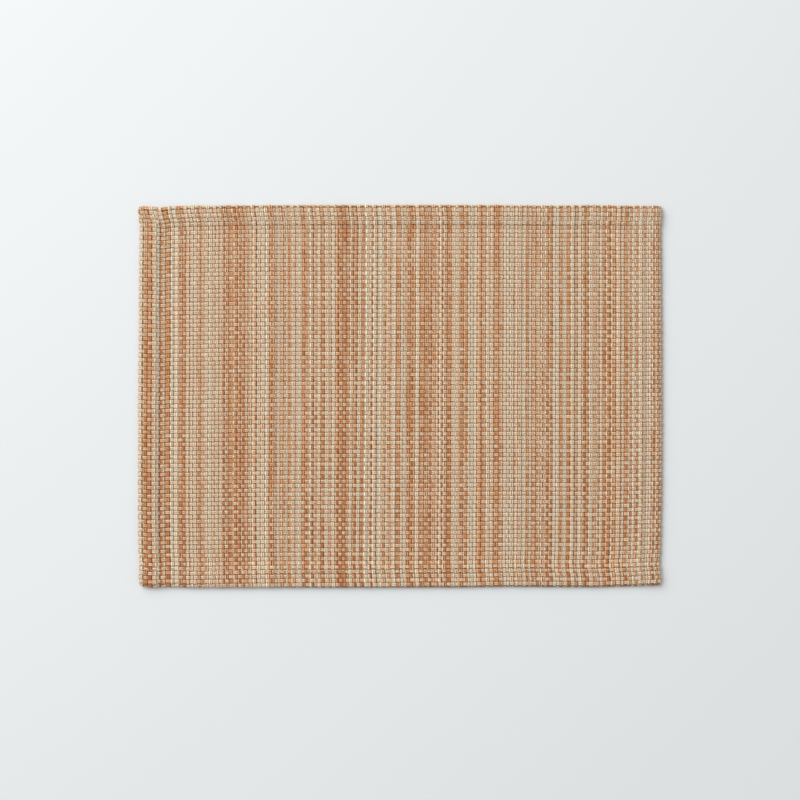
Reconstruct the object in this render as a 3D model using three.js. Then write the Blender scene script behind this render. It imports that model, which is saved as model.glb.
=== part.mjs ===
import * as THREE from 'three';

// A woven cotton placemat lying flat: one cloth whose four edges are turned under and stitched.
// Millimetres. +X runs along the long side, +Y towards the back edge and +Z up.
// The origin is on the surface it lies on, under the middle of the mat.

const matLength = 480;
const matDepth = 351;
const clothThickness = 2.6;

// The turned-under cloth lifts the hem, and a second hem lifts the corners again.
const hemRise = 2.3;
const cornerPress = 1.2;
const foldRadius = 2.4;
const cornerRadius = 4.5;

// The stitching pulls the cloth down along a seam, and the cloth slopes to the table inside it.
const seamDip = 0.8;
const seamHalfWidth = 1.5;
const flapPastSeam = 1.6;
const flapEdge = 0.5;
const slopeLength = 8;

// The hem puckers a little between its stitches.
const puckerHeight = 0.18;
const puckerPitch = 23;

const fieldStep = 17;

// From the edge to the seam, on each side.
const seamInset = { left: 18, right: 16.5, front: 16, back: 14 };

// How far each edge stands in from the straight side, at places along it.
const leftEdge = [
  { at: -176, inset: 1.6 },
  { at: -169, inset: 0.9 },
  { at: -157, inset: 1.2 },
  { at: -141, inset: 0.4 },
  { at: -104, inset: 0 },
  { at: -13, inset: 0 },
  { at: 24, inset: 0.4 },
  { at: 60, inset: 0.7 },
  { at: 116, inset: 0.9 },
  { at: 157, inset: 1.5 },
  { at: 169, inset: 0.1 },
  { at: 176, inset: 0.6 },
];
const rightEdge = [
  { at: -176, inset: 1.6 },
  { at: -169, inset: 1.1 },
  { at: -155, inset: 2.2 },
  { at: -141, inset: 1.2 },
  { at: -122, inset: 0.9 },
  { at: -86, inset: 0.3 },
  { at: -31, inset: 0 },
  { at: 42, inset: 0.2 },
  { at: 97, inset: 0.6 },
  { at: 157, inset: 1.1 },
  { at: 169, inset: 0.4 },
  { at: 176, inset: 0.9 },
];
const frontEdge = [
  { at: -240, inset: 1.6 },
  { at: -230, inset: 0.5 },
  { at: -213, inset: 1.1 },
  { at: -190, inset: 0.2 },
  { at: -44, inset: 0 },
  { at: 47, inset: 0.3 },
  { at: 102, inset: 1 },
  { at: 176, inset: 0.6 },
  { at: 212, inset: 1.5 },
  { at: 229, inset: 2.2 },
  { at: 240, inset: 2.4 },
];
const backEdge = [
  { at: -240, inset: 1 },
  { at: -228, inset: 1.3 },
  { at: -219, inset: 2.3 },
  { at: -211, inset: 1.1 },
  { at: -190, inset: 0.7 },
  { at: -99, inset: 0.2 },
  { at: 11, inset: 0 },
  { at: 84, inset: 0.1 },
  { at: 139, inset: 0.6 },
  { at: 176, inset: 0.2 },
  { at: 212, inset: 0.8 },
  { at: 240, inset: 0.9 },
];

// 0 below 0, 1 above 1, and a soft S between.
function softStep(value) {
  const t = Math.min(Math.max(value, 0), 1);
  return t * t * (3 - 2 * t);
}

// The inset of a table's edge at a place along it, eased between its rows.
function insetAt(table, along) {
  if (along <= table[0].at) return table[0].inset;
  for (let row = 1; row < table.length; row += 1) {
    const before = table[row - 1];
    const after = table[row];
    if (along <= after.at) {
      const share = softStep((along - before.at) / (after.at - before.at));
      return before.inset + (after.inset - before.inset) * share;
    }
  }
  return table[table.length - 1].inset;
}

// Distances in from one edge: close together over the fold, the seam and the slope.
function edgeInsets(seam) {
  const flapEnd = seam + flapPastSeam;
  return [
    0,
    foldRadius * 0.1,
    foldRadius * 0.4,
    foldRadius,
    seam * 0.45,
    seam - seamHalfWidth * 2,
    seam - seamHalfWidth * 0.6,
    seam + seamHalfWidth * 0.4,
    flapEnd,
    flapEnd + flapEdge,
    seam + slopeLength * 0.6,
    seam + slopeLength,
  ];
}

// Distances from the low edge to the high edge, for the mesh lines across one direction.
function meshLines(span, lowSeam, highSeam) {
  const low = edgeInsets(lowSeam);
  const high = edgeInsets(highSeam).map((inset) => span - inset).reverse();
  const start = low[low.length - 1];
  const end = high[0];
  const steps = Math.round((end - start) / fieldStep);
  const field = [];
  for (let step = 1; step < steps; step += 1) {
    field.push(start + ((end - start) * step) / steps);
  }
  return [...low, ...field, ...high];
}

// How much the turned-under cloth lifts the hem's face at an inset from its edge.
function hemLift(inset, seam) {
  return hemRise * softStep(1 - (inset - seam) / slopeLength);
}

// How far the stitches pull the face down near a seam.
function stitchDip(inset, seam) {
  const away = (inset - seam) / seamHalfWidth;
  return seamDip * Math.exp(-away * away);
}

// A folded edge turns over in a quarter round, from 0 at the edge to 1 on the hem's face.
function foldTurn(inset) {
  const t = 1 - Math.min(inset / foldRadius, 1);
  return Math.sqrt(1 - t * t);
}

// The lift and dip of one direction's two hems, and whether the flap lies underneath.
function hemAcross(position, span, lowSeam, highSeam) {
  const fromHigh = span - position;
  const nearLow = position < fromHigh;
  const inset = nearLow ? position : fromHigh;
  const seam = nearLow ? lowSeam : highSeam;
  return {
    lift: hemLift(inset, seam),
    dip: stitchDip(inset, seam),
    turn: foldTurn(inset),
    overFlap: inset < seam + flapPastSeam + flapEdge * 0.5,
  };
}

// The heights of the mat's face and underside at a distance from the left and front edges.
function heightsAt(fromLeft, fromFront) {
  const across = hemAcross(fromLeft, matLength, seamInset.left, seamInset.right);
  const along = hemAcross(fromFront, matDepth, seamInset.front, seamInset.back);
  const crossing = (across.lift / hemRise) * (along.lift / hemRise);
  const lift = across.lift + along.lift - cornerPress * crossing;
  const pucker =
    Math.sin((2 * Math.PI * fromLeft) / puckerPitch) * (along.lift / hemRise) +
    Math.sin((2 * Math.PI * fromFront) / puckerPitch) * (across.lift / hemRise);
  const dip = Math.max(across.dip, along.dip);
  const face = clothThickness + lift - dip + puckerHeight * pucker * (1 - crossing);
  const under = across.overFlap || along.overFlap ? 0 : lift;
  const turn = across.turn * along.turn;
  const rim = (clothThickness + hemRise) * 0.5;
  return { face: rim + (face - rim) * turn, under: rim - (rim - under) * turn };
}

// Rounds a corner: the square around it is squeezed into a quarter disc.
function roundCorner(x, y) {
  const startX = matLength / 2 - cornerRadius;
  const startY = matDepth / 2 - cornerRadius;
  const pastX = (Math.abs(x) - startX) / cornerRadius;
  const pastY = (Math.abs(y) - startY) / cornerRadius;
  if (pastX <= 0 || pastY <= 0) return { x, y };
  const roundX = pastX * Math.sqrt(1 - (pastY * pastY) / 2);
  const roundY = pastY * Math.sqrt(1 - (pastX * pastX) / 2);
  return {
    x: Math.sign(x) * (startX + cornerRadius * roundX),
    y: Math.sign(y) * (startY + cornerRadius * roundY),
  };
}

// The place of a mesh crossing on the table, with the uneven edges drawn in.
function placeAt(fromLeft, fromFront) {
  const rounded = roundCorner(fromLeft - matLength / 2, fromFront - matDepth / 2);
  const left = insetAt(leftEdge, rounded.y);
  const right = insetAt(rightEdge, rounded.y);
  const front = insetAt(frontEdge, rounded.x);
  const back = insetAt(backEdge, rounded.x);
  const shareX = fromLeft / matLength;
  const shareY = fromFront / matDepth;
  return {
    x: rounded.x + left * (1 - shareX) - right * shareX,
    y: rounded.y + front * (1 - shareY) - back * shareY,
  };
}

// One closed skin: a face and an underside that share the points of the rim.
function matGeometry() {
  const columns = meshLines(matLength, seamInset.left, seamInset.right);
  const rows = meshLines(matDepth, seamInset.front, seamInset.back);
  const lastColumn = columns.length - 1;
  const lastRow = rows.length - 1;
  const positions = [];
  const faceIndex = [];
  const underIndex = [];
  rows.forEach((fromFront, row) => {
    faceIndex.push([]);
    underIndex.push([]);
    columns.forEach((fromLeft, column) => {
      const place = placeAt(fromLeft, fromFront);
      const heights = heightsAt(fromLeft, fromFront);
      const onRim = row === 0 || column === 0 || row === lastRow || column === lastColumn;
      faceIndex[row].push(positions.length / 3);
      positions.push(place.x, place.y, heights.face);
      if (!onRim) positions.push(place.x, place.y, heights.under);
      underIndex[row].push(positions.length / 3 - 1);
    });
  });
  const triangles = [];
  for (let row = 0; row < lastRow; row += 1) {
    for (let column = 0; column < lastColumn; column += 1) {
      const f = [
        faceIndex[row][column],
        faceIndex[row][column + 1],
        faceIndex[row + 1][column + 1],
        faceIndex[row + 1][column],
      ];
      const u = [
        underIndex[row][column],
        underIndex[row][column + 1],
        underIndex[row + 1][column + 1],
        underIndex[row + 1][column],
      ];
      const risingDiagonal = (row < lastRow / 2) === (column < lastColumn / 2);
      if (risingDiagonal) {
        triangles.push(f[0], f[1], f[2], f[0], f[2], f[3]);
        triangles.push(u[0], u[2], u[1], u[0], u[3], u[2]);
      } else {
        triangles.push(f[0], f[1], f[3], f[1], f[2], f[3]);
        triangles.push(u[0], u[3], u[1], u[1], u[3], u[2]);
      }
    }
  }
  const geometry = new THREE.BufferGeometry();
  geometry.setAttribute('position', new THREE.Float32BufferAttribute(positions, 3));
  geometry.setIndex(triangles);
  geometry.computeVertexNormals();
  return geometry;
}

const cottonMaterial = new THREE.MeshStandardMaterial({
  color: 0xbc9c7e,
  roughness: 0.92,
  metalness: 0,
});

const wovenMat = new THREE.Mesh(matGeometry(), cottonMaterial);
wovenMat.name = 'woven_mat';

const placemat = new THREE.Group();
placemat.name = 'placemat';
placemat.add(wovenMat);

export default placemat;
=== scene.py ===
import math
import bpy
import numpy as np
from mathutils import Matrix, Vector


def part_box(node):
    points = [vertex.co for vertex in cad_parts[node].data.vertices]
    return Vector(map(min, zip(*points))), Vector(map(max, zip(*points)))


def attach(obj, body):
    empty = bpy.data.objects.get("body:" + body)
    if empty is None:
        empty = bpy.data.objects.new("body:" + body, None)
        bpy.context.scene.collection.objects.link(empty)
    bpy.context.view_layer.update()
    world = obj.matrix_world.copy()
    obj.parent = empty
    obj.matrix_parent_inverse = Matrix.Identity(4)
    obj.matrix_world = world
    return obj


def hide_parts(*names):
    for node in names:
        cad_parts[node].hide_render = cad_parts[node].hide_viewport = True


# Woven cotton placemat seen from above. The frame is in metres; the cloth is worked out in mm.
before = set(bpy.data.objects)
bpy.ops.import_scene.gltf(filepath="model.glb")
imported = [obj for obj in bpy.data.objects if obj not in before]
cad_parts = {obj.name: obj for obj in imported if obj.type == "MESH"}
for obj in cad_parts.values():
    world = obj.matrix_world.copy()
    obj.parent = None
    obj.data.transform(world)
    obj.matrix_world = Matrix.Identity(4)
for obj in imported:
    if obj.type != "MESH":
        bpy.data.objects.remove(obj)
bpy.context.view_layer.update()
low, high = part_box("woven_mat")
mm = 0.001
matLength = (high.x - low.x) / mm
matDepth = (high.y - low.y) / mm
rng = np.random.default_rng(31)

# The same cloth as the solid: its thickness, hems, seams and uneven edges.
cloth = {
    "thickness": 2.6,
    "hem rise": 2.3,
    "corner press": 1.2,
    "corner thinning": 0.2,
    "fold in": 2.45,
    "fold radius": 1.2,
    "past seam": 0.47,
    "flap lift": 0.87,
    "corner flap height": 1.2,
    "corner radius": 4.5,
    "seam dip": 0.8,
    "seam half width": 1.5,
    "slope length": 8.0,
    "pucker height": 0.18,
    "pucker pitch": 23.0,
}
seamInset = {"left": 18.0, "right": 16.5, "front": 16.0, "back": 14.0}
edges = {
    "left": [
        (-176, 1.6), (-169, 0.9), (-157, 1.2), (-141, 0.4), (-104, 0), (-13, 0),
        (24, 0.4), (60, 0.7), (116, 0.9), (157, 1.5), (169, 0.1), (176, 0.6),
    ],
    "right": [
        (-176, 1.6), (-169, 1.1), (-155, 2.2), (-141, 1.2), (-122, 0.9), (-86, 0.3),
        (-31, 0), (42, 0.2), (97, 0.6), (157, 1.1), (169, 0.4), (176, 0.9),
    ],
    "front": [
        (-240, 1.6), (-230, 0.5), (-213, 1.1), (-190, 0.2), (-44, 0), (47, 0.3),
        (102, 1), (176, 0.6), (212, 1.5), (229, 2.2), (240, 2.4),
    ],
    "back": [
        (-240, 1), (-228, 1.3), (-219, 2.3), (-211, 1.1), (-190, 0.7), (-99, 0.2),
        (11, 0), (84, 0.1), (139, 0.6), (176, 0.2), (212, 0.8), (240, 0.9),
    ],
}

# Sideways lean of the warp where it reaches the back and front folds, its slow drift towards them,
# and how far the picks sag towards the front: place along the mat, and mm in half-millimetre steps.
backLean = [(-240, -3), (-200, -2), (-90, -1), (40, -1), (75, 0), (240, 0)]
frontLean = [(-240, 0), (-100, 0.5), (0, 1), (40, 0), (170, 1), (240, 0)]
backDrift = [(-240, -0.5), (-60, -0.5), (-35, 1), (240, 1)]
frontDrift = [(-240, 0), (-60, -0.5), (-38, -1.5), (-20, -0.5), (120, 0.5), (240, 0)]
backSag = [(-240, 1.5), (-130, 0), (240, 0)]
frontSag = [(-240, 2), (-75, 0), (200, -0.5), (240, -1)]

pickShift = 1.0  # all picks lie this far towards the back
driftMargin = 12  # the drift fades out this near the sides
leanLimit = 1.1  # the lean grows from the seam to just past the edge, and then stays


def softStep(value):
    t = np.clip(value, 0, 1)
    return t * t * (3 - 2 * t)


def easedTable(table, along):
    at = np.array([row[0] for row in table], float)
    inset = np.array([row[1] for row in table], float)
    row = np.clip(np.searchsorted(at, along) - 1, 0, len(at) - 2)
    share = softStep((along - at[row]) / (at[row + 1] - at[row]))
    return inset[row] + (inset[row + 1] - inset[row]) * share


# Cloth measured from an edge: under 0 it has gone round the fold and lies under the hem.
def hemSection(along, span):
    inset = np.minimum(along, span - along)
    turn = np.clip((cloth["fold in"] - inset) / cloth["fold radius"], 0, math.pi)
    past = np.maximum(cloth["fold in"] - math.pi * cloth["fold radius"] - inset, 0)
    folded = cloth["fold in"] - cloth["fold radius"] * np.sin(turn) + past
    place = np.where(turn > 0, folded, inset)
    return np.where(along < span / 2, place, span - place), (1 - np.cos(turn)) / 2


def hemHeights(place, span, lowSeam, highSeam):
    nearLow = place < span - place
    beyond = np.where(nearLow, place - lowSeam, span - place - highSeam)
    lift = cloth["hem rise"] * softStep(1 - beyond / cloth["slope length"])
    dip = cloth["seam dip"] * np.exp(-((beyond / cloth["seam half width"]) ** 2))
    return lift, dip


# The middle of the cloth at a place on it, both measured flat from the left and front edges.
def clothPlace(fromLeft, fromFront):
    x, underX = hemSection(fromLeft, matLength)
    y, underY = hemSection(fromFront, matDepth)
    liftX, dipX = hemHeights(x, matLength, seamInset["left"], seamInset["right"])
    liftY, dipY = hemHeights(y, matDepth, seamInset["front"], seamInset["back"])
    shareX = liftX / cloth["hem rise"]
    shareY = liftY / cloth["hem rise"]
    crossing = shareX * shareY
    half = cloth["thickness"] / 2 * (1 - cloth["corner thinning"] * crossing)
    waves = 2 * math.pi / cloth["pucker pitch"]
    pucker = np.sin(waves * x) * shareY + np.sin(waves * y) * shareX
    top = cloth["thickness"] + liftX + liftY - cloth["corner press"] * crossing
    top = top - np.maximum(dipX, dipY) + cloth["pucker height"] * pucker * (1 - crossing) - half
    underSide = half + cloth["flap lift"] * liftY * (1 - underY)
    z = top * (1 - underX) * (1 - underY) + underSide * underX * (1 - underY)
    z = z + half * underY * (1 - underX) + (half + cloth["corner flap height"]) * underX * underY
    startX = matLength / 2 - cloth["corner radius"]
    startY = matDepth / 2 - cloth["corner radius"]
    outX = x - matLength / 2
    outY = y - matDepth / 2
    pastX = np.maximum(np.abs(outX) - startX, 0) / cloth["corner radius"]
    pastY = np.maximum(np.abs(outY) - startY, 0) / cloth["corner radius"]
    both = (pastX > 0) & (pastY > 0)
    roundX = startX + cloth["corner radius"] * pastX * np.sqrt(1 - np.minimum(pastY, 1) ** 2 / 2)
    roundY = startY + cloth["corner radius"] * pastY * np.sqrt(1 - np.minimum(pastX, 1) ** 2 / 2)
    outX = np.where(both, np.sign(outX) * roundX, outX)
    outY = np.where(both, np.sign(outY) * roundY, outY)
    acrossX = x / matLength
    acrossY = y / matDepth
    movedX = easedTable(edges["left"], outY) * (1 - acrossX) - easedTable(edges["right"], outY) * acrossX
    movedY = easedTable(edges["front"], outX) * (1 - acrossY) - easedTable(edges["back"], outX) * acrossY
    return np.stack([outX + movedX, outY + movedY, z], axis=-1)


def unit(vectors):
    return vectors / np.maximum(np.linalg.norm(vectors, axis=-1, keepdims=True), 1e-9)


def clothFrame(fromLeft, fromFront):
    step = 0.25  # mm to each side, for the slope of the cloth
    acrossX = clothPlace(fromLeft + step, fromFront) - clothPlace(fromLeft - step, fromFront)
    acrossY = clothPlace(fromLeft, fromFront + step) - clothPlace(fromLeft, fromFront - step)
    return clothPlace(fromLeft, fromFront), unit(np.cross(acrossX, acrossY))


# Where a crossing of the flat draft really lies on the cloth: leaned, drifted and sagged.
def settled(fromLeft, fromFront):
    x = fromLeft - matLength / 2
    up = fromFront / matDepth
    atBack = np.clip(1 - (matDepth - fromFront) / seamInset["back"], 0, leanLimit)
    atFront = np.clip(1 - fromFront / seamInset["front"], 0, leanLimit)
    lean = easedTable(backLean, x) * atBack + easedTable(frontLean, x) * atFront
    inward = np.clip(np.minimum(fromLeft, matLength - fromLeft) / driftMargin, 0, 1)
    drift = easedTable(backDrift, x) * np.clip(2 * up - 1, 0, 1)
    drift = drift + easedTable(frontDrift, x) * np.clip(1 - 2 * up, 0, 1)
    sag = easedTable(backSag, x) * up + easedTable(frontSag, x) * (1 - up)
    return fromLeft + lean + drift * inward, fromFront - sag + pickShift


# Stripes charted from left to right, a text for each quarter of the mat: a kind of stripe
# and how many warp ends it takes.
stripeQuarters = [
    "pale 1  rust 2  mixed 1  deepening 1  mixed 1  rust 1  cream 2  rust 2  mixed 1  pale 2  tan 2 "
    "mixed 1  pale 2  mixed 2  tan 2  rust 1  tan 3  mixed 3  cream 3",
    "rust 1  tan 1  pale 1  mixed 2  rust 1  pale 1  mixed 1  cream 1  rust 2  mixed 1  tan 1  pale 1 "
    "rust 1  cream 1  tan 1  cream 1  tan 1  rust 3  fading 1  tan 1  pale 1  rust 1  cream 1  tan 1 "
    "cream 2  mixed 2  pale 1  rust 1",
    "cream 1  fading 1  rust 2  cream 1  rust 3  tan 2  mixed 2  rust 1  mixed 1  pale 1  rust 2 "
    "cream 3  orange 2  cream 1  mixed 1  rust 1  tan 1  cream 3  mixed 2  cream 1  rust 1  pale 1",
    "tan 1  mixed 2  rust 1  tan 1  cream 2  rust 1  cream 1  rust 1  pale 1  tan 1  cream 1  rust 2 "
    "pale 1  mixed 2  pale 1  rust 1  tan 1  mixed 3  rust 1  mixed 1  cream 1  rust 1  pale 1  tan 1 "
    "cream 2  rust 1  mixed 2",
]
flapCharts = {
    "left": "cream 2  mixed 1  rust 1  cream 1",
    "right": "mixed 1  cream 2  tan 1  pale 1",
}
# An end shows three bands of colour side by side, drawn from those its kind of stripe may have.
stripeKinds = {
    "cream": ["ccc", "ccp", "pcc", "cpc"],
    "pale": ["cpc", "cct", "tcc", "ctp"],
    "mixed": ["ctr", "rtc", "crt", "tpc", "rcp"],
    "tan": ["rtt", "trp", "ptr", "trr"],
    "orange": ["oor", "roo"],
    "rust": ["rrr", "trr", "rrt", "rro"],
    "fading": ["cww", "wwc"],
    "deepening": ["cvc", "cvv"],
}
warp = {
    "unevenness": 0.2,
    "narrowest": 0.65,
    "widest": 1.6,
    "thread share": 0.4,
    "bands": 3,
    "pieces": 5,
}
# How far the bands of an end differ in brightness, and how much of their mean is taken out.
bandTone = {
    "spread": 0.15,
    "evening": 0.8,
}

# Weft picks: pitch at the back and front, and how many lie in each turned-under hem.
weft = {
    "back pitch": 3.84,
    "front pitch": 3.95,
    "flap picks": 4,
    "last gap": 1.5,
    "pieces": 4,
    "fill": 0.86,
    "strands": ["cc", "pc", "cp", "pc", "cp"],
    "tone": 0.955,
    "back tint": 0.56,
    "front tint": 0.44,
    "tint noise": 0.22,
    "tone noise": 0.03,
    "bend": 30,
}
yarn = {
    "rise": 0.60,
    "half thickness": 0.62,
    "plateau": 0.19,
    "fill": 0.98,
    "wobble": 0.10,
    "bend": 12,
    "width noise": 0.03,
    "lift": 0.20,
    "strands": 2,
    "tone": 0.935,
}
# How far the dye differs along a whole yarn and along one band, and how much of it lasts to the next
# yarn crossed. Darker yarn is browner and paler yarn whiter, by the powers of its tone in red, green
# and blue. Rust, orange and tan are deeper at the front.
dye = {
    "yarn": 0.13,
    "strand": 0.17,
    "steadiness": 0.63,
    "channels": (0.85, 1.0, 1.3),
    "front deeper": 0.40,
    "all deeper": 0.02,
    "palest": 0.8,
    "deepest": 0.9,
    "deepening": 1.6,
    "speckle": 0.04,
    "speckle length": 3,
    "fade": 1.6,
    "fade noise": 0.3,
    "fade length": 10,
}
fineThread = {
    "half width": 0.36,
    "half thickness": 0.30,
    "rise": 0.92,
    "wave": 0.10,
    "wobble": 0.12,
    "bend": 6,
    "width noise": 0.06,
    "width bend": 4,
    "shadow": 0.36,
}
palette = {
    "cream": (234, 216, 188),
    "peach": (240, 196, 155),
    "orange": (225, 152, 89),
    "rust": (198, 127, 60),
    "brick": (178, 100, 42),
}
# The letters of cream, peach, tan, orange and rust bands: the colours of their two plies, and the
# deeper colour they drift to. A band of v turns from cream to rust towards the front, w the reverse.
plyColours = {
    "c": ("cream", "cream", "peach"),
    "p": ("cream", "peach", "orange"),
    "t": ("orange", "cream", "rust"),
    "o": ("orange", "peach", "rust"),
    "r": ("rust", "orange", "brick"),
}


def linearColour(name):
    channels = np.array(palette[name]) / 255
    return np.where(channels <= 0.04045, channels / 12.92, ((channels + 0.055) / 1.055) ** 2.4)


def readChart(text):
    words = text.split()
    kinds = []
    for kind, count in zip(words[::2], words[1::2]):
        kinds += [kind] * int(count)
    return kinds


firstEnd = len(readChart(flapCharts["left"]))
lastEnd = firstEnd + sum(len(readChart(text)) for text in stripeQuarters)


def unevenWidths(count, total):
    shares = 1 + warp["unevenness"] * rng.normal(0, 1, count)
    shares = np.clip(shares, warp["narrowest"], warp["widest"])
    return list(total * shares / shares.sum())


# Ends of uneven width fill the mat and its turned-under sides. Fine cream threads lie at some of
# the borders between stripes.
def layEnds():
    stretches = [(flapCharts["left"], seamInset["left"] + cloth["past seam"])]
    stretches += [(text, matLength / len(stripeQuarters)) for text in stripeQuarters]
    stretches.append((flapCharts["right"], seamInset["right"] + cloth["past seam"]))
    kinds, widths = [], []
    for text, total in stretches:
        stretch = readChart(text)
        kinds += stretch
        widths += unevenWidths(len(stretch), total)
    at = -stretches[0][1]
    laid = []
    for number, (kind, width) in enumerate(zip(kinds, widths)):
        letters = stripeKinds[kind][rng.integers(len(stripeKinds[kind]))]
        tones = rng.normal(0, 1, warp["bands"])
        tones = 1 + bandTone["spread"] * (tones - bandTone["evening"] * tones.mean())
        atBorder = firstEnd <= number < lastEnd - 1 and kinds[number + 1] != kind
        thread = atBorder and rng.random() < warp["thread share"]
        laid.append({
            "letters": letters,
            "width": width,
            "at": at + width / 2,
            "tones": tones,
            "thread": thread,
        })
        at += width
    return laid


def layPicks():
    gaps = [matDepth]
    while gaps[-1] > weft["last gap"]:
        down = 1 - gaps[-1] / matDepth
        gaps.append(gaps[-1] - weft["back pitch"] - (weft["front pitch"] - weft["back pitch"]) * down)
    scale = matDepth / (matDepth - gaps[-1])
    gaps = [matDepth - (matDepth - gap) * scale for gap in gaps]
    picks = [{"at": (a + b) / 2, "width": a - b} for a, b in zip(gaps, gaps[1:])]
    for k in range(weft["flap picks"]):
        picks.insert(0, {"at": matDepth + (k + 0.5) * weft["back pitch"], "width": weft["back pitch"]})
        picks.append({"at": -(k + 0.5) * weft["front pitch"], "width": weft["front pitch"]})
    return picks[::-1]


ends = layEnds()
picks = layPicks()
print("ends", len(ends), "picks", len(picks))


def smoothNoise(count, spacing):
    knots = rng.normal(0, 1, max(int(count / spacing) + 3, 4))
    at = np.linspace(0, len(knots) - 1.001, count)
    low = at.astype(int)
    share = softStep(at - low)
    return knots[low] * (1 - share) + knots[low + 1] * share


def mixed(first, second, share):
    return first * (1 - share[:, None]) + second * share[:, None]


# Noise in steps of two rings, one step for each yarn crossed, that lasts for a few of them.
def dyeNoise(count):
    steps = rng.normal(0, 1, count // 2 + 1)
    fresh = math.sqrt(1 - dye["steadiness"] ** 2)
    for k in range(1, len(steps)):
        steps[k] = dye["steadiness"] * steps[k - 1] + fresh * steps[k]
    return np.repeat(steps, 2)[:count]


# Both plies' colours along one band, dyed unevenly along its length.
def plyTones(letter, down, tone=1.0, shade=0.0):
    count = len(down)
    if letter in "vw":
        wander = dye["fade noise"] * smoothNoise(count, dye["fade length"])
        turned = softStep(dye["fade"] * (down - 0.5) + 0.5 + wander)
        share = turned if letter == "v" else 1 - turned
        pale, deep = plyTones("c", down, tone, shade), plyTones("r", down, tone, shade)
        return [mixed(a, b, share) for a, b in zip(pale, deep)]
    first, second, deeper = [linearColour(name) for name in plyColours[letter]]
    plies = [np.tile(first, (count, 1)), np.tile(second, (count, 1))]
    shade = shade + dye["strand"] * dyeNoise(count)
    if letter in "rot":
        shade = shade + dye["front deeper"] * (0.5 - down) - dye["all deeper"]
    paler = np.clip(shade, 0, dye["palest"])
    plies = [mixed(ply, linearColour("cream"), paler) for ply in plies]
    darker = np.clip(-dye["deepening"] * shade, 0, dye["deepest"])
    plies = [mixed(ply, deeper, darker) for ply in plies]
    tone = tone + dye["speckle"] * smoothNoise(count, dye["speckle length"])
    return [np.clip(ply * tone[:, None] ** dye["channels"], 0, 1) for ply in plies]


# Sections of the yarns: points across and up from the middle, as shares of half the width and half
# the thickness, the band of colour at each point, and the faces that close the yarn's ends.
warpSection = {
    "across": np.array([1, 0.34, -0.34, -1, -1, -0.34, 0.34, 1]),
    "up": np.array([0.5, 0.95, 0.95, 0.5, -0.5, -0.95, -0.95, -0.5]),
    "band": np.array([2, 1, 0, 0, 0, 1, 2, 2]),
    "caps": np.array([[0, 1, 2, 3], [0, 3, 4, 7], [4, 5, 6, 7]]),
}
# The weft has a groove between its two strands on the face.
weftSection = {
    "across": np.array([1, 0.5, 0, -0.5, -1, 0]),
    "up": np.array([0, 0.95, 0.72, 0.95, 0, -0.95]),
    "band": np.array([1, 1, 0, 0, 0, 1]),
    "caps": np.array([[0, 1, 2, 5], [2, 3, 4, 5]]),
}
threadSection = {
    "across": np.array([1, 0, -1, 0]),
    "up": np.array([0, 1, 0, -1]),
    "band": np.array([0, 0, 0, 0]),
    "caps": np.array([[0, 1, 2, 3]]),
}


# A yarn's rings with their maps: mm along it and strands across it, and for its shadows the place
# between crossings and the share of the way to its sides.
def tube(path, normal, halfWidth, halfThickness, phase, plies, section, strands):
    along = unit(np.gradient(path, axis=0))
    side = unit(np.cross(along, normal))
    up = np.cross(side, along)
    wide = (halfWidth[:, None] * section["across"])[..., None] * side[:, None, :]
    tall = (halfThickness[:, None] * section["up"])[..., None] * up[:, None, :]
    travelled = np.concatenate([[0], np.cumsum(np.linalg.norm(np.diff(path, axis=0), axis=1))])
    mapX = np.repeat(travelled[:, None], len(section["across"]), axis=1)
    mapY = np.repeat(((1 + section["across"]) * strands / 2)[None, :], len(path), axis=0)
    crossX = np.repeat(phase[:, None], len(section["across"]), axis=1)
    crossY = np.repeat(section["across"][None, :], len(path), axis=0)
    return {
        "points": path[:, None, :] + wide + tall,
        "map": np.stack([mapX, mapY], axis=-1),
        "cross": np.stack([crossX, crossY], axis=-1),
        "first": np.stack([band[0] for band in plies], axis=1),
        "second": np.stack([band[1] for band in plies], axis=1),
        "section": section,
    }


# The corners of each face take turns: this ring, the next, the next, this one.
def aroundFaces(here, there):
    return np.stack([here, there, there, here], axis=2).reshape(-1, here.shape[-1])


# The patch of the bake map that a tube takes up in its column, and the spots for its end caps.
bakePatch = {
    "from": 0.06,
    "width": 0.9,
    "margin": 0.01,
    "cap": (0.03, 0.004),
    "cap from": 0.02,
    "cap step": 0.01,
}


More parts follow.
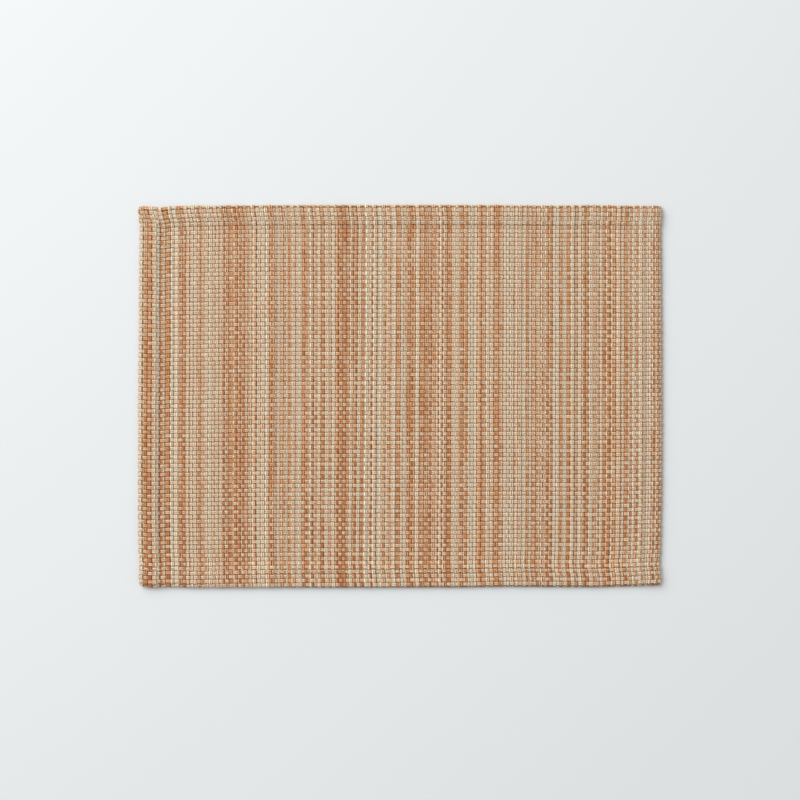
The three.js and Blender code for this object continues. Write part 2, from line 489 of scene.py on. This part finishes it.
# Joins tubes in one mesh. Each has its own patch of the bake map, in lanes one above the other.
def buildPiece(name, tubes, lanes=1):
    points, quads, strandUv, crossUv, bakeUv, first, second = [], [], [], [], [], [], []
    start = 0
    columns = math.ceil(len(tubes) / lanes)
    for number, part in enumerate(tubes):
        column, lane = number % columns, number // columns
        section = part["section"]
        sides = len(section["across"])
        ring = np.arange(sides)
        after = (ring + 1) % sides
        caps = section["caps"]
        rings = len(part["points"])
        base = start + np.arange(rings - 1)[:, None] * sides
        faces = np.stack([base + ring, base + sides + ring, base + sides + after, base + after], axis=-1)
        endCaps = caps[:, ::-1] + (rings - 1) * sides
        quads.append(np.concatenate([faces.reshape(-1, 4), start + caps, start + endCaps]))
        points.append(part["points"].reshape(-1, 3))
        strandUv.append(part["map"].reshape(-1, 2))
        crossUv.append(part["cross"].reshape(-1, 2))
        v = (lane + np.linspace(bakePatch["margin"], 1 - bakePatch["margin"], rings)) / lanes
        u = (column + bakePatch["from"] + bakePatch["width"] * np.arange(sides + 1) / sides) / columns
        grid = np.stack(np.meshgrid(u, v), axis=-1)
        loops = np.stack([grid[:-1, :-1], grid[1:, :-1], grid[1:, 1:], grid[:-1, 1:]], axis=2)
        capWide, capTall = bakePatch["cap"]
        patch = np.array([(0, 0), (capWide, 0), (capWide, capTall), (0, capTall)]) / (columns, lanes)
        capU = (column + bakePatch["margin"]) / columns
        capV = [lane + bakePatch["cap from"] + bakePatch["cap step"] * k for k in range(2 * len(caps))]
        capLoops = np.concatenate([patch + np.array((capU, spot / lanes)) for spot in capV])
        bakeUv.append(np.concatenate([loops.reshape(-1, 2), capLoops]))
        middle = part["first"].shape[1] // 2
        for store, label in ((first, "first"), (second, "second")):
            tones = part[label][:, section["band"]]
            store.append(aroundFaces(tones[:-1], tones[1:]))
            store.append(np.repeat(part[label][[0, -1], middle], 4 * len(caps), axis=0))
        start += rings * sides
    points = np.concatenate(points) * mm
    points[:, 2] = np.maximum(points[:, 2], 0)  # the thick corners press on the floor
    quads = np.concatenate(quads)
    mesh = bpy.data.meshes.new(name)
    mesh.vertices.add(len(points))
    mesh.vertices.foreach_set("co", points.ravel())
    mesh.loops.add(quads.size)
    mesh.loops.foreach_set("vertex_index", quads.ravel().astype(np.int32))
    mesh.polygons.add(len(quads))
    mesh.polygons.foreach_set("loop_start", np.arange(0, quads.size, 4, dtype=np.int32))
    mesh.update(calc_edges=True)
    mesh.polygons.foreach_set("use_smooth", np.ones(len(quads), dtype=bool))
    strandMap = mesh.uv_layers.new(name="strandMap")
    strandMap.data.foreach_set("uv", np.concatenate(strandUv)[quads.ravel()].ravel())
    crossMap = mesh.uv_layers.new(name="crossMap")
    crossMap.data.foreach_set("uv", np.concatenate(crossUv)[quads.ravel()].ravel())
    bakeMap = mesh.uv_layers.new(name="OFBake")
    bakeMap.data.foreach_set("uv", np.concatenate(bakeUv).ravel())
    for label, tones in (("firstPly", first), ("secondPly", second)):
        values = np.concatenate(tones)
        attribute = mesh.color_attributes.new(label, "BYTE_COLOR", "CORNER")
        attribute.data.foreach_set("color", np.hstack([values, np.ones((len(values), 1))]).ravel())
    piece = bpy.data.objects.new(name, mesh)
    bpy.context.collection.objects.link(piece)
    return piece


firstPick = weft["flap picks"]
lastPick = len(picks) - weft["flap picks"]


# Two places along a yarn over each yarn it crosses, that yarn's number, and the places in yarns.
def places(crossed, first, last):
    numbers = np.repeat(np.arange(first, last), 2)
    at = np.array([crossed[k]["at"] for k in numbers])
    widths = np.array([crossed[k]["width"] for k in numbers])
    offsets = np.tile([-yarn["plateau"], yarn["plateau"]], last - first)
    return at + offsets * widths, numbers, numbers + offsets


# A yarn's rings as places in its list, with two more in each stretch that goes round a fold.
def foldRings(at, span):
    outer = cloth["fold in"] - math.pi * cloth["fold radius"]
    atLow = (at[:-1] < cloth["fold in"]) & (at[1:] > outer)
    atHigh = (at[:-1] < span - outer) & (at[1:] > span - cloth["fold in"])
    extra = np.nonzero(atLow | atHigh)[0]
    return np.sort(np.concatenate([np.arange(len(at)), extra + 1 / 3, extra + 2 / 3]))


def atRings(values, rings):
    before = rings.astype(int)
    after = np.minimum(before + 1, len(values) - 1)
    share = rings - before
    if values.ndim > 1:
        share = share[:, None]
    return values[before] * (1 - share) + values[after] * share


# A yarn's tube on the cloth, from its flat places, its height over the cloth's middle and its width.
def yarnTube(s, t, along, span, rise, width, phase, plies, section, strands):
    rings = foldRings(along, span)
    s, t, rise, width, phase = [atRings(values, rings) for values in (s, t, rise, width, phase)]
    plies = [[atRings(ply, rings) for ply in band] for band in plies]
    centre, normal = clothFrame(s, t)
    path = centre + normal * rise[:, None]
    thickness = np.full(len(rings), yarn["half thickness"])
    return tube(path, normal, width, thickness, phase, plies, section, strands)


def warpTube(number, end):
    inMain = firstEnd <= number < lastEnd
    span = (0, len(picks)) if inMain else (firstPick, lastPick)
    at, crossed, phase = places(picks, *span)
    count = len(at)
    rise = np.where((crossed + number) % 2 == 1, yarn["rise"], -yarn["rise"]) + yarn["lift"]
    s, t = settled(end["at"] + yarn["wobble"] * smoothNoise(count, yarn["bend"]), at)
    halfWidth = end["width"] * 0.5 * yarn["fill"] * (1 + yarn["width noise"] * rng.normal(0, 1, count))
    down = 1 - at / matDepth
    shade = dye["yarn"] * dyeNoise(count)
    tones = end["tones"] * yarn["tone"]
    plies = [plyTones(letter, down, tone, shade) for letter, tone in zip(end["letters"], tones)]
    return yarnTube(s, t, t, matDepth, rise, halfWidth, phase, plies, warpSection, yarn["strands"])


# The loose weft lets much of the colour of the end below through, more in some places than others.
def seenThrough(end):
    tones = []
    for letter, tone in zip(end["letters"], end["tones"]):
        names = plyColours[letter][:2] if letter in plyColours else ("cream", "rust")
        tones.append(np.mean([linearColour(name) for name in names], axis=0) * tone)
    return [(tones[0] + tones[1]) / 2, (tones[1] + tones[2]) / 2]


throughTones = np.array([seenThrough(end) for end in ends])
throughShares = np.array([weft["tint noise"] * dyeNoise(2 * len(picks))[::2] for end in ends])
weftShades = np.array([dye["yarn"] * dyeNoise(2 * len(picks))[::2] for end in ends])


def weftTube(number, pick):
    inMain = firstPick <= number < lastPick
    span = (0, len(ends)) if inMain else (firstEnd, lastEnd)
    at, crossed, phase = places(ends, *span)
    count = len(at)
    rise = np.where((crossed + number) % 2 == 0, yarn["rise"], -yarn["rise"])
    s, t = settled(at, pick["at"] + yarn["wobble"] * smoothNoise(count, weft["bend"]))
    halfWidth = pick["width"] * 0.5 * weft["fill"] * (1 + yarn["width noise"] * rng.normal(0, 1, count))
    down = np.full(count, 1 - pick["at"] / matDepth)
    share = weft["back tint"] + (weft["front tint"] - weft["back tint"]) * down
    share = np.clip(share + throughShares[crossed, number], 0, 1)
    through = throughTones[crossed, np.arange(count) % 2] * weft["tone"]
    tone = weft["tone"] + weft["tone noise"] * rng.normal(0, 1)
    letters = weft["strands"][rng.integers(len(weft["strands"]))]
    plies = []
    for letter in letters:
        own = plyTones(letter, down, tone, weftShades[crossed, number])
        plies.append([mixed(ply, through, share) for ply in own])
    return yarnTube(s, t, s, matLength, rise, halfWidth, phase, plies, weftSection, len(letters))


# Fine threads lie on the face between two ends, a little lower at each gap between picks.
def threadTube(end):
    pickMiddles = np.array([pick["at"] for pick in picks])
    gaps = (pickMiddles[1:] + pickMiddles[:-1]) / 2
    at = np.sort(np.concatenate([pickMiddles, gaps]))
    count = len(at)
    rise = fineThread["rise"] + fineThread["wave"] * np.where(np.arange(count) % 2 == 0, 1, -1)
    border = end["at"] + end["width"] / 2
    across = border + fineThread["wobble"] * smoothNoise(count, fineThread["bend"])
    centre, normal = clothFrame(*settled(across, at))
    path = centre + normal * rise[:, None]
    widthNoise = fineThread["width noise"] * smoothNoise(count, fineThread["width bend"])
    halfWidth = fineThread["half width"] * (1 + widthNoise)
    halfThickness = np.full(count, fineThread["half thickness"])
    plies = [plyTones("c", 1 - at / matDepth)]
    phase = fineThread["shadow"] * (np.arange(count) % 2)
    return tube(path, normal, halfWidth, halfThickness, phase, plies, threadSection, 1)


def inGroups(tubes, count):
    cuts = [round(len(tubes) * k / count) for k in range(count + 1)]
    return [tubes[a:b] for a, b in zip(cuts, cuts[1:])]


warpTubes = [warpTube(number, end) for number, end in enumerate(ends)]
weftTubes = [weftTube(number, pick) for number, pick in enumerate(picks)]
yarnPieces = []
for k, group in enumerate(inGroups(warpTubes, warp["pieces"])):
    yarnPieces.append(buildPiece("warp_" + str(k + 1), group))
for k, group in enumerate(inGroups(weftTubes, weft["pieces"])):
    yarnPieces.append(buildPiece("weft_" + str(k + 1), group))
threadTubes = [threadTube(end) for end in ends if end["thread"]]
yarnPieces.append(buildPiece("fine_threads", threadTubes))


# Both rows of lock stitches in each seam: on the face, and under the turned-in cloth.
stitch = {
    "pitch": 3.6,
    "length": 3.1,
    "half width": 0.42,
    "half thickness": 0.30,
    "height": 1.52,
    "end depth": 0.75,
    "from edge": 3.0,
    "under height": 0.12,
    "under arch": 0.5,
    "roundness": 0.6,
    "narrowing": 0.3,
    "tone": 1.04,
    "tone noise": 0.04,
    "sideways": 0.03,
    "under shift": 0.25,
    "rings": 5,
    "map lanes": 24,
}


def stitchTube(start, end, onFace):
    share = np.linspace(0, 1, stitch["rings"])
    s = start[0] + (end[0] - start[0]) * share
    t = start[1] + (end[1] - start[1]) * share
    centre, normal = clothFrame(s, t)
    arch = np.sin(math.pi * share) ** stitch["roundness"]
    if onFace:
        height = stitch["height"] - stitch["end depth"] * (1 - arch)
        path = centre + normal * height[:, None]
    else:
        path = centre.copy()
        path[:, 2] = stitch["under height"] + stitch["under arch"] * (1 - arch)
    halfWidth = stitch["half width"] * (1 - stitch["narrowing"] * (1 - arch))
    halfThickness = np.full(stitch["rings"], stitch["half thickness"])
    tone = linearColour("cream") * (stitch["tone"] + stitch["tone noise"] * rng.normal(0, 1))
    plies = [[np.tile(tone, (stitch["rings"], 1))] * 2]
    return tube(path, normal, halfWidth, halfThickness, share * 0, plies, threadSection, 1)


def seamStitches():
    clear = stitch["from edge"]
    seams = [
        ((clear, seamInset["front"]), (matLength - clear, seamInset["front"])),
        ((clear, matDepth - seamInset["back"]), (matLength - clear, matDepth - seamInset["back"])),
        ((seamInset["left"], clear), (seamInset["left"], matDepth - clear)),
        ((matLength - seamInset["right"], clear), (matLength - seamInset["right"], matDepth - clear)),
    ]
    tubes = []
    for start, end in seams:
        start, end = np.array(start), np.array(end)
        run = np.linalg.norm(end - start)
        count = round(run / stitch["pitch"])
        step = (end - start) / count
        for k in range(count):
            for onFace in (True, False):
                shift = 0 if onFace else stitch["under shift"]
                middle = start + step * (k + 0.5 + shift)
                half = step / np.linalg.norm(step) * stitch["length"] / 2
                middle = middle + np.array([step[1], -step[0]]) * stitch["sideways"] * rng.normal(0, 1)
                tubes.append(stitchTube(middle - half, middle + half, onFace))
    return tubes


yarnPieces.append(buildPiece("seam_stitches", seamStitches(), lanes=stitch["map lanes"]))
print("yarn triangles", [2 * len(piece.data.polygons) for piece in yarnPieces])


# The thin ground inside the yarns, which closes the gaps between them. Its dark brick colour is painted
# shade in those gaps.
ground = {
    "thickness": 0.3,
    "field step": 12.0,
    "corner stub": 3.0,
    "fold steps": 6,
    "beside fold": (-6.0, -3.0, 5.0),
    "beside seam": (-3.0, -1.5, -0.7, 0.0, 0.7, 1.5, 3.0, 4.5, 6.0, 8.0),
    "between": 0.6,
    "map size": 100,
}


# Mesh lines across one direction, close together in the folds and at the seams.
def groundLines(span, lowSeam, highSeam):
    def inward(seam):
        reach = seam + cloth["past seam"]
        angles = [step * math.pi / ground["fold steps"] for step in range(ground["fold steps"] + 1)]
        fold = [cloth["fold in"] - cloth["fold radius"] * angle for angle in angles]
        hem = [-reach, -reach * ground["between"], seam * ground["between"]]
        besideSeam = [seam + away for away in ground["beside seam"]]
        return sorted(hem + fold + list(ground["beside fold"]) + besideSeam)
    lowSide = inward(lowSeam)
    highSide = [span - inset for inset in inward(highSeam)][::-1]
    steps = round((highSide[0] - lowSide[-1]) / ground["field step"])
    field = np.linspace(lowSide[-1], highSide[0], steps + 1)[1:-1]
    return np.array(lowSide + list(field) + highSide)


def buildGround():
    columns = groundLines(matLength, seamInset["left"], seamInset["right"])
    rows = groundLines(matDepth, seamInset["front"], seamInset["back"])
    s, t = np.meshgrid(columns, rows)
    points = clothPlace(s, t).reshape(-1, 3) * mm
    faces = []
    width = len(columns)
    for row in range(len(rows) - 1):
        for column in range(width - 1):
            midS = (columns[column] + columns[column + 1]) / 2
            midT = (rows[row] + rows[row + 1]) / 2
            outS = max(-midS, midS - matLength)
            outT = max(-midT, midT - matDepth)
            if min(outS, outT) > ground["corner stub"]:
                continue  # the corner of the turned-under cloth is left off
            a = row * width + column
            faces.append((a, a + 1, a + 1 + width, a + width))
    mesh = bpy.data.meshes.new("cloth_ground")
    mesh.from_pydata(points.tolist(), [], faces)
    uv = mesh.uv_layers.new(name="clothMap")
    flat = np.stack([s.ravel(), t.ravel()], -1)
    index = np.array(faces).ravel()
    uv.data.foreach_set("uv", (flat[index] / ground["map size"]).ravel())
    mesh.polygons.foreach_set("use_smooth", np.ones(len(faces), dtype=bool))
    piece = bpy.data.objects.new("cloth_ground", mesh)
    bpy.context.collection.objects.link(piece)
    thicken = piece.modifiers.new("thickness", "SOLIDIFY")
    thicken.thickness = ground["thickness"] * mm
    thicken.offset = 0
    flatSize = ((columns[-1] - columns[0]) * mm, (rows[-1] - rows[0]) * mm)
    return piece, flatSize


clothGround, flatSize = buildGround()
print("ground", flatSize)


# Wraps a socket of a shader, so that its maths is written as plain expressions.
class Wire:
    def __init__(self, tree, socket=None):
        self.tree = tree
        self.socket = socket

    def node(self, kind, settings=None, inputs=None, out=0):
        made = self.tree.nodes.new(kind)
        for name, value in (settings or {}).items():
            setattr(made, name, value)
        for name, value in (inputs or {}).items():
            if isinstance(value, Wire):
                self.tree.links.new(value.socket, made.inputs[name])
            else:
                made.inputs[name].default_value = value
        return Wire(self.tree, made.outputs[out]) if made.outputs else made

    def maths(self, operation, *values):
        return self.node("ShaderNodeMath", {"operation": operation}, dict(enumerate(values)))

    def __add__(self, other):
        return self.maths("ADD", self, other)

    def __radd__(self, other):
        return self.maths("ADD", other, self)

    def __sub__(self, other):
        return self.maths("SUBTRACT", self, other)

    def __rsub__(self, other):
        return self.maths("SUBTRACT", other, self)

    def __mul__(self, other):
        return self.maths("MULTIPLY", self, other)

    def __rmul__(self, other):
        return self.maths("MULTIPLY", other, self)

    def __truediv__(self, other):
        return self.maths("DIVIDE", self, other)

    def __rtruediv__(self, other):
        return self.maths("DIVIDE", other, self)

    def __pow__(self, other):
        return self.maths("POWER", self, other)


# The mix node has its share and its two colours in sockets 0, 6 and 7, and gives a colour in 2.
def mixColours(wire, share, first, second, blend="MIX"):
    return wire.node("ShaderNodeMix", {"data_type": "RGBA", "blend_type": blend},
                     {0: share, 6: first, 7: second}, out=2)


def mapAxes(wire, name):
    uvMap = wire.node("ShaderNodeUVMap", {"uv_map": name})
    split = wire.node("ShaderNodeSeparateXYZ", {}, {0: uvMap}).socket.node
    return Wire(wire.tree, split.outputs[0]), Wire(wire.tree, split.outputs[1])


# The twist and fibres of the cotton, and the painted shade in its grooves between strands and plies:
# each channel's darkest value and how far it rises in the light.
strandLook = {
    "ply length": 2.1,
    "ply roundness": 0.7,
    "ply light": 0.2,
    "groove roundness": 0.9,
    "groove shade": ((0.58, 0.46), (0.50, 0.54), (0.42, 0.62)),
    "marl length": 2.4,
    "marl slant": 0.5,
    "marl wander": 0.8,
    "marl blur": 0.35,
    "drift scale": 420.0,
    "fibre scale": 2600.0,
    "groove bump": 0.9,
    "ply bump": 0.3,
    "fibre bump": 0.35,
    "bump depth": 0.0005,
    "bump strength": 0.9,
    "smoothest": 0.84,
    "roughening": 0.12,
    "sheen": 0.25,
    "sheen roughness": 0.6,
    "gloss": 0.25,
}
# Painted shade: how dark a yarn's colour turns where it dips beside the next yarn it crosses and along
# its own sides, and the tint of that shade.
creviceShade = {
    "across": 0.87,
    "across sharpness": 6,
    "beside": 0.26,
    "beside sharpness": 6,
    "side light": 0.25,
    "side light sharpness": 8,
    "tint": ((0.46, 0.55), (0.20, 0.86), (-0.11, 1.22)),
}


def tinted(wire, light, tint):
    channels = {k: darkest + rising * light for k, (darkest, rising) in enumerate(tint)}
    return wire.node("ShaderNodeCombineColor", {}, channels)


def yarnMaterial():
    material = bpy.data.materials.new("cotton_yarn")
    material.use_nodes = True
    tree = material.node_tree
    tree.nodes.clear()
    wire = Wire(tree)
    along, across = mapAxes(wire, "strandMap")
    crossing, toSide = mapAxes(wire, "crossMap")
    sideways = wire.maths("ABSOLUTE", toSide)
    fromCrossing = wire.maths("PINGPONG", crossing, 0.5) * 2
    place = wire.node("ShaderNodeTexCoord", out="Object")
    drift = wire.node("ShaderNodeTexNoise", {"noise_dimensions": "3D"},
                      {"Vector": place, "Scale": strandLook["drift scale"], "Detail": 2.0})
    strandWave = wire.maths("ABSOLUTE", wire.maths("SINE", across * math.pi))
    groove = strandWave ** strandLook["groove roundness"]
    plyAngle = (along / strandLook["ply length"] + across) * math.pi
    ply = wire.maths("ABSOLUTE", wire.maths("SINE", plyAngle)) ** strandLook["ply roundness"]
    marlTurns = along / strandLook["marl length"] + across * strandLook["marl slant"]
    marlTurns = marlTurns + drift * strandLook["marl wander"]
    marl = wire.maths("SINE", marlTurns * (2 * math.pi))
    blur = strandLook["marl blur"]
    share = wire.node("ShaderNodeMapRange", {"interpolation_type": "SMOOTHSTEP"},
                      {"Value": marl, "From Min": -blur, "From Max": blur})
    first = wire.node("ShaderNodeAttribute", {"attribute_name": "firstPly"})
    second = wire.node("ShaderNodeAttribute", {"attribute_name": "secondPly"})
    base = mixColours(wire, share, first, second)
    # Painted shade: the colour darkens in the grooves between strands and between plies, and a painted
    # light lifts it again at the yarn's outer sides.
    plyLight = strandLook["ply light"]
    sideLight = creviceShade["side light"] * sideways ** creviceShade["side light sharpness"]
    lit = groove * ((1 - plyLight) + plyLight * ply) + sideLight
    base = mixColours(wire, 1.0, base, tinted(wire, lit, strandLook["groove shade"]), "MULTIPLY")
    # Painted shade where the yarn dips beside each yarn it crosses and along its sides.
    dip = creviceShade["across"] * fromCrossing ** creviceShade["across sharpness"]
    side = creviceShade["beside"] * sideways ** creviceShade["beside sharpness"]
    unshadedShare = (1 - dip) * (1 - side)
    base = mixColours(wire, 1.0, base, tinted(wire, unshadedShare, creviceShade["tint"]), "MULTIPLY")
    fibre = wire.node("ShaderNodeTexNoise", {"noise_dimensions": "3D"},
                      {"Vector": place, "Scale": strandLook["fibre scale"], "Detail": 3.0})
    height = groove * strandLook["groove bump"] + ply * strandLook["ply bump"]
    height = height + fibre * strandLook["fibre bump"]
    bump = wire.node("ShaderNodeBump", {}, {
        "Strength": strandLook["bump strength"],
        "Distance": strandLook["bump depth"],
        "Height": height,
    })
    shader = wire.node("ShaderNodeBsdfPrincipled", {}, {
        "Base Color": base,
        "Roughness": strandLook["smoothest"] + strandLook["roughening"] * fibre,
        "Sheen Weight": strandLook["sheen"],
        "Sheen Roughness": strandLook["sheen roughness"],
        "Specular IOR Level": strandLook["gloss"],
        "Normal": bump,
    })
    wire.node("ShaderNodeOutputMaterial", {}, {"Surface": shader})
    return material


groundLook = {
    "scale": 300.0,
    "darkest": 0.35,
    "palest": 0.9,
    "roughness": 0.95,
}


def groundMaterial():
    material = bpy.data.materials.new("cloth_ground")
    material.use_nodes = True
    tree = material.node_tree
    tree.nodes.clear()
    wire = Wire(tree)
    place = wire.node("ShaderNodeTexCoord", out="Object")
    noise = wire.node("ShaderNodeTexNoise", {},
                      {"Vector": place, "Scale": groundLook["scale"], "Detail": 2.0})
    # Painted shade: the ground is a dark, mottled brick where the gaps between yarns show it.
    dark = tuple(linearColour("brick") * groundLook["darkest"]) + (1,)
    pale = tuple(linearColour("brick") * groundLook["palest"]) + (1,)
    base = mixColours(wire, noise, dark, pale)
    shader = wire.node("ShaderNodeBsdfPrincipled", {}, {
        "Base Color": base,
        "Roughness": groundLook["roughness"],
    })
    wire.node("ShaderNodeOutputMaterial", {}, {"Surface": shader})
    return material


cottonYarn = yarnMaterial()
for piece in yarnPieces:
    piece.data.materials.append(cottonYarn)
clothGround.data.materials.append(groundMaterial())

allPieces = yarnPieces + [clothGround]
for piece in allPieces:
    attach(piece, "root")
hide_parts("woven_mat")
print("pieces", len(allPieces))

studio = {
    "floor size": 5.0,
    "floor colour": (0.735, 0.76, 0.77),
    "floor roughness": 0.9,
    "light at": (-1.9, 1.9, 2.6),
    "light size": 3.4,
    "light power": 150.0,
    "fill colour": (1.0, 1.0, 1.0),
    "fill strength": 0.49,
}
bpy.ops.mesh.primitive_plane_add(size=studio["floor size"], location=(0, 0, 0))
floor = bpy.context.object
floor.name = "floor"
floorMaterial = bpy.data.materials.new("floor_paint")
floorMaterial.use_nodes = True
floorShader = floorMaterial.node_tree.nodes["Principled BSDF"]
floorShader.inputs["Base Color"].default_value = studio["floor colour"] + (1,)
floorShader.inputs["Roughness"].default_value = studio["floor roughness"]
floor.data.materials.append(floorMaterial)

bpy.ops.object.light_add(type="AREA", location=studio["light at"])
lamp = bpy.context.object
lamp.name = "soft_window"
lamp.data.size = studio["light size"]
lamp.data.energy = studio["light power"]
lamp.rotation_euler = (Vector((0, 0, 0)) - lamp.location).to_track_quat("-Z", "Y").to_euler()

world = bpy.data.worlds.new("studio")
world.use_nodes = True
world.node_tree.nodes["Background"].inputs["Color"].default_value = studio["fill colour"] + (1,)
world.node_tree.nodes["Background"].inputs["Strength"].default_value = studio["fill strength"]
bpy.context.scene.world = world

camera = {
    "lens": 85.0,
    "sensor": 36.0,
    "distance": 1.730,
    "aim": (-0.00027, -0.0034),
}
topHeight = (high.z - low.z) * 0.5
cameraHeight = camera["distance"] + topHeight
bpy.ops.object.camera_add(location=(camera["aim"][0], camera["aim"][1], cameraHeight))
eye = bpy.context.object
eye.name = "camera"
eye.data.lens = camera["lens"]
eye.data.sensor_width = camera["sensor"]
eye.data.dof.use_dof = False
bpy.context.scene.camera = eye
bpy.context.scene.view_settings.view_transform = "Standard"
